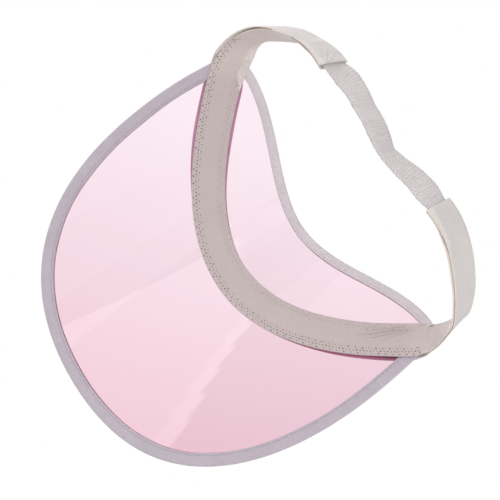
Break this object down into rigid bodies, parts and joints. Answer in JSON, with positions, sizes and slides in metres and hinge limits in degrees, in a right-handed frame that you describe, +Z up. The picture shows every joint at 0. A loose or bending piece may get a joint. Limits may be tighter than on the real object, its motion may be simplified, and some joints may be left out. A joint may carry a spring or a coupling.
{
  "type": "sun visor",
  "caption": "Clear pink sun visor with a taped edge, a two-layer fabric headband across the sheet and a ruched elastic behind the head.",
  "frame": {"origin": "middle of the head opening, on the line between the sheet's two corners, halfway up the headband", "axes": "+Z up as worn, -Y forward along the brim, +X to the wearer's left"},
  "size_m": [0.2182, 0.236, 0.0693],
  "materials": {
    "sheet": "clear pink soft plastic, glossy",
    "binding": "grey lilac woven tape",
    "lining": "smooth warm grey fabric with a soft sheen",
    "cover": "smooth pale warm grey fabric",
    "sleeve": "ruched pale grey fabric",
    "tape": "woven elastic",
    "thread": "sewing thread"
  },
  "bodies": {
    "visor": {"visor_sheet": "sheet", "brim_binding": "binding", "forehead_binding": "binding", "band_lining": "lining", "band_cover": "cover", "brim_seam": "thread", "forehead_seam": "thread", "brim_zigzag": "thread", "forehead_zigzag": "thread"},
    "tails": {"left_tail_lining": "lining", "left_tail_cover": "cover", "right_tail_lining": "lining", "right_tail_cover": "cover", "left_bar_tack": "thread", "right_bar_tack": "thread"},
    "elastic": {"elastic_sleeve": "sleeve", "elastic_tape": "tape"}
  },
  "joints": [
    {"name": "tail_fold", "type": "hinge", "parent": "visor", "child": "tails", "pos_m": [0, 0.01137, -0.0018], "axis": [1, 0, 0], "range_deg": [-25, 25], "stiffness_Nm_per_rad": 0.02},
    {"name": "elastic_stretch", "type": "slide", "parent": "tails", "child": "elastic", "axis": [0, 1, 0], "range_m": [0, 0.05], "stiffness_N_per_m": 60, "deforming": ["elastic_sleeve", "elastic_tape"]}
  ]
}
